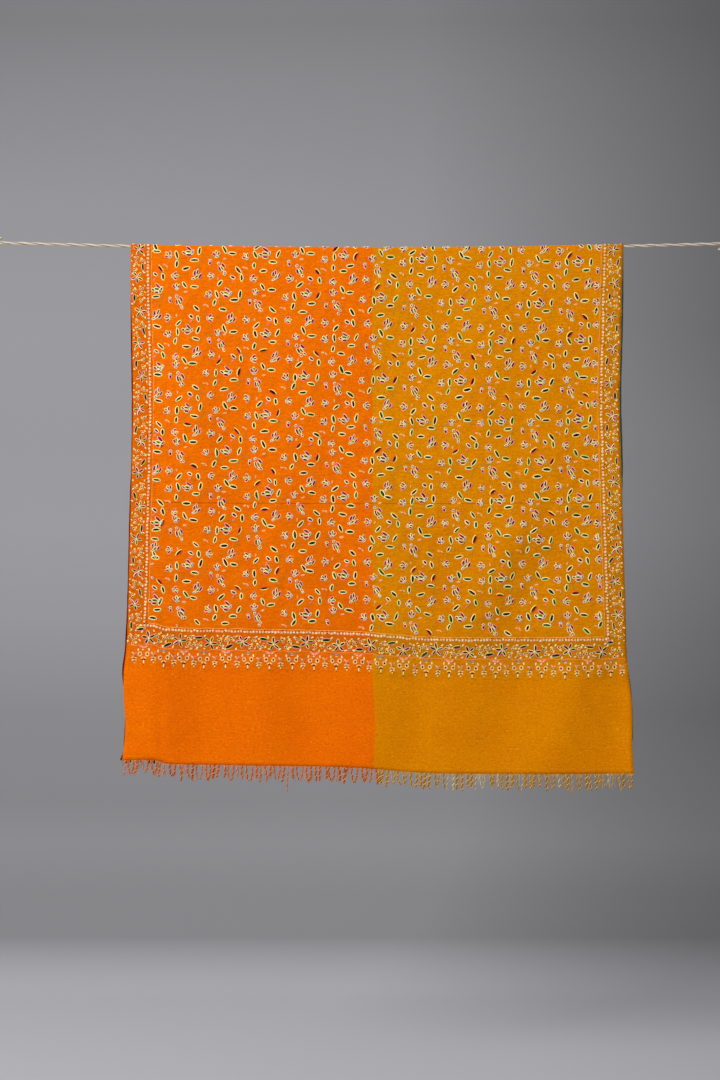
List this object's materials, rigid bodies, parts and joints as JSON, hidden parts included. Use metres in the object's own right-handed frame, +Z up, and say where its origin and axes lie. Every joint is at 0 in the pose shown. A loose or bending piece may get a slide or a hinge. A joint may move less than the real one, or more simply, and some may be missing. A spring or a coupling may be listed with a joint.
{
  "type": "pashmina shawl on a rope",
  "caption": "Large embroidered shawl in four dyed colours, folded once over a taut rope and hanging flat.",
  "frame": {"origin": "middle of the rope's centreline, under the shawl's fold", "axes": "+Z up, +X to the right along the rope, the front with the orange and mustard halves faces -Y"},
  "size_m": [1.5852, 0.029, 1.1027],
  "materials": {
    "wool_orange": "matt dyed pashmina wool",
    "wool_mustard": "matt dyed pashmina wool",
    "wool_maroon": "matt dyed pashmina wool",
    "wool_teal": "matt dyed pashmina wool",
    "embroidery_thread": "soft satin wool and silk thread",
    "rope_fibre": "twisted natural fibre"
  },
  "bodies": {
    "root": {"cloth_front_fall": "wool_orange", "cloth_fold": "wool_orange", "cloth_back_fall": "wool_maroon", "fringe_front_left": "wool_orange", "fringe_front_right": "wool_mustard", "fringe_back_left": "wool_maroon", "fringe_back_right": "wool_teal", "rope_line": "rope_fibre", "rope_knot_left": "rope_fibre", "rope_knot_right": "rope_fibre", "rope_eye_left": "rope_fibre", "rope_eye_right": "rope_fibre"}
  },
  "joints": []
}
